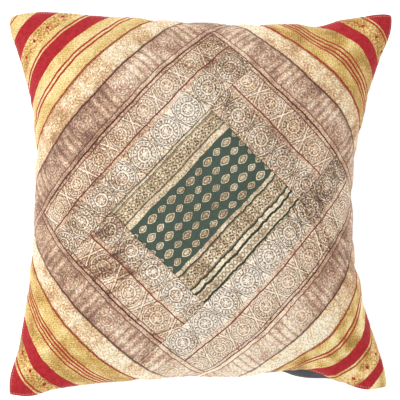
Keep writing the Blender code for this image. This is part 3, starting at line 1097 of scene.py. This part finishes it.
pale_band("left", ((0.3, 0.76), (0.5, 0.58), (0.7, 0.88)))
pale_band("right", ((0.3, 0.80), (0.5, 0.52), (0.7, 0.54)))
pale_band("upper", ((0.3, 0.52), (0.5, 0.56), (0.7, 0.66)))
pale_band("lower", ((0.3, 1.2), (0.5, 1.05), (0.68, 0.22)))


# The corners: triangles of a gold and red striped border, with red spots in one gold stripe.

GOLD_METAL = (
    (0.0, (0.34, 0.17, 0.038, 1)),
    (0.4, (0.66, 0.42, 0.112, 1)),
    (1.0, (0.99, 0.84, 0.46, 1)),
)
RED_SHADE = (0.36, 0.008, 0.014, 1)
RED_LIGHT = (0.48, 0.014, 0.022, 1)
THIN_RED = (0.40, 0.030, 0.022, 1)
BROAD_STRIPE = 5  # a narrower red stripe is a thin line, darker and widened by SPREAD
SPREAD = 0.15
LARGEST_MARK = 100  # the stripes are marked on a ramp of this length
SPOT_REACH = 2.3
STITCH_INSET = 3.6


def corner_triangle(side, level, play, stripes, spots):
    """Makes one corner. level is how bright its gold is, and play how much that changes.

    stripes are where each red stripe starts and ends, in mm from the corner's seam. spots are
    the place of the spotted stripe, its spots' pitch and shift, and its dullness.
    """
    finish, shader, thread = new_finish(side + "_stripes")
    place, along, across = woven_places(thread, 0.7)
    stops = [(0.0, (0, 0, 0, 1))]
    for start, end in stripes:
        strength, spread = (1.0, 0) if end - start > BROAD_STRIPE else (0.7, SPREAD)
        start, end = max(start - spread, 0), end + spread
        shown = (strength, strength, strength, 1)
        stops += [(start / LARGEST_MARK, shown), (end / LARGEST_MARK, (0, 0, 0, 1))]
    mark = (across / LARGEST_MARK).ramp(*stops, blend="CONSTANT")
    row, pitch, phase, dim = spots
    x = abs((along - phase).wrap(pitch))
    y = across - row
    spot = (x + abs(y)).line(SPOT_REACH, 0.7)
    tan = y.line(6.4, 1.0)
    sprig = grain(thread, place, 3.2, 1.0).step(0.44, 0.56) - 0.5
    red = mark.step(0.3, 0.5).most(spot)
    cloudy = grain(thread, place, 22.0, 1.0, (1, 1.6)) - 0.5
    twill = thread.maths("SINE", (along + across) * 2.2) * 0.08
    metal_brightness = cloudy * play + level + twill + (sprig * 0.2 - dim) * tan
    shade = grain(thread, place, 4.0, 2.5).step(0.3, 0.7).tint(RED_SHADE, RED_LIGHT)
    shade = mark.step(0.75, 0.9).most(spot).tint(THIN_RED, shade)
    # Pale top-stitching runs just inside the cushion's seam.
    base = SEAMS[side][3]
    inside_seam = (EDGE - abs(base) - across - abs(along)) * math.sqrt(0.5)
    stitch = thread.maths("SINE", (across - abs(along)) * 1.7).step(0.0, 0.5)
    stitch = (inside_seam - STITCH_INSET).line(0.3, 0.4) * stitch
    shade = stitch.tint(shade, (0.62, 0.44, 0.28, 1))
    red = red.most(stitch * 0.75)
    gilt(shader, thread, place, red, sprig * tan * 0.5, metal_brightness, GOLD_METAL, shade, tan * 0.8, 1.15)
    tip = math.copysign(EDGE - BLUNT_POINT, base)
    band(side + "_corner", side, (base, tip), finish, to_edge(side, base), to_edge(side, tip))


corner_triangle("left", 0.43, 0.95, (
    (0, 1.3), (17.2, 18.6), (20.4, 21.8), (23.7, 25.1), (27.5, 28.9), (42.2, 55.3),
    (68.8, 70.2), (72.4, 99),
), (60.0, 23.5, -1.5, 0.06))
corner_triangle("right", 0.36, 0.85, (
    (0, 1.8), (13.2, 14.6), (16.5, 17.9), (20.8, 22.2), (24.9, 26.3), (39.6, 52.4),
    (67.6, 69.0), (70.9, 99),
), (60.6, 22.0, 6.5, 0.02))
corner_triangle("upper", 0.60, 0.45, (
    (0, 1.2), (13.7, 15.4), (18.0, 19.7), (31.8, 45.4), (47.1, 48.9),
    (68.2, 83.4), (98, 99.5),
), (61.0, 22.0, -5.0, 0.20))
corner_triangle("lower", 0.52, 1.7, (
    (0, 1.3), (12.2, 13.6), (15.9, 17.3), (28.8, 40.4), (42.4, 43.8), (60.2, 71.0),
), (53.7, 21.0, -0.5, -0.06))


# The studio: a plain near-white table, soft daylight from all round with a little more from
# the upper left, and a camera straight above the cushion, as the picture was taken.

bpy.ops.object.select_all(action="DESELECT")
bpy.ops.mesh.primitive_plane_add(size=6)
floor = bpy.context.active_object
floor.name = "floor"
finish, shader, thread = new_finish("floor_paint")
shader.inputs["Base Color"].default_value = (0.9, 0.9, 0.9, 1)
shader.inputs["Roughness"].default_value = 0.8
shader.inputs["Emission Color"].default_value = (1, 1, 1, 1)
shader.inputs["Emission Strength"].default_value = 0.6
wear(floor, finish)

sky = bpy.data.worlds.new("studio")
bpy.context.scene.world = sky
sky.use_nodes = True
sky.node_tree.nodes["Background"].inputs["Color"].default_value = (1, 1, 1, 1)
sky.node_tree.nodes["Background"].inputs["Strength"].default_value = 0.8

lamp = bpy.data.lights.new("window", "AREA")
lamp.shape = "DISK"
lamp.size = 1.6
lamp.energy = 22
window = bpy.data.objects.new("window", lamp)
window.location = (-1.2, 0.25, 1.8)
window.rotation_euler = (math.radians(-8), math.radians(-33), 0)
bpy.context.scene.collection.objects.link(window)

CAMERA_DISTANCE = 2.2  # above the seam; the studio's lengths are in metres
CAMERA_SHIFT = (-0.0002, 0.0041)  # the cushion lies a little off the picture's middle
PICTURE_WIDTH = 0.4  # at the seam's height
SENSOR_WIDTH = 36  # in mm
lens = bpy.data.cameras.new("camera")
lens.sensor_width = SENSOR_WIDTH
lens.lens = SENSOR_WIDTH * CAMERA_DISTANCE / PICTURE_WIDTH
camera = bpy.data.objects.new("camera", lens)
camera.location = (*CAMERA_SHIFT, SEAM_HEIGHT / 1000 + CAMERA_DISTANCE)
bpy.context.scene.collection.objects.link(camera)
bpy.context.scene.camera = camera
bpy.context.scene.view_settings.view_transform = "Standard"
